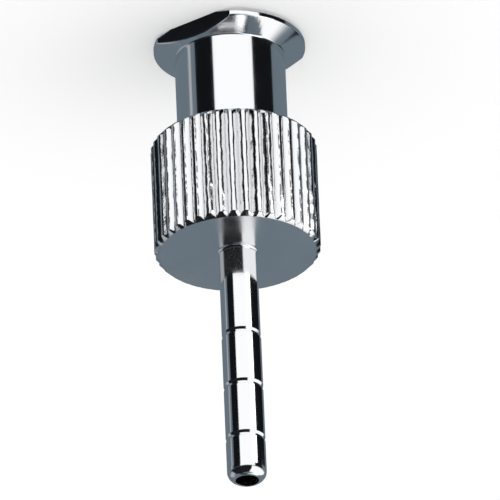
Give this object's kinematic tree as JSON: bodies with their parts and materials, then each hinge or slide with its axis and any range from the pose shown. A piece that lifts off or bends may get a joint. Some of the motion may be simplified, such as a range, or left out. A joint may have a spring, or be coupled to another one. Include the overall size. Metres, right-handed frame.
{
  "type": "luer lock fitting",
  "caption": "Plated female luer lock fitting: lugged luer head, round neck, straight-knurled grip collar and a ringed tube stem with a through bore.",
  "frame": {"origin": "centre of the luer mouth, on the flat face that the fitting stands on", "axes": "+Z along the bore from the luer mouth to the tip of the stem; the two lugs reach along +X and -X, and the flats face +Y and -Y"},
  "size_m": [0.0086, 0.0086, 0.0254],
  "materials": {
    "plated_brass": "bright nickel plate on turned brass"
  },
  "bodies": {
    "root": {"luer_fitting": "plated_brass"}
  },
  "joints": []
}
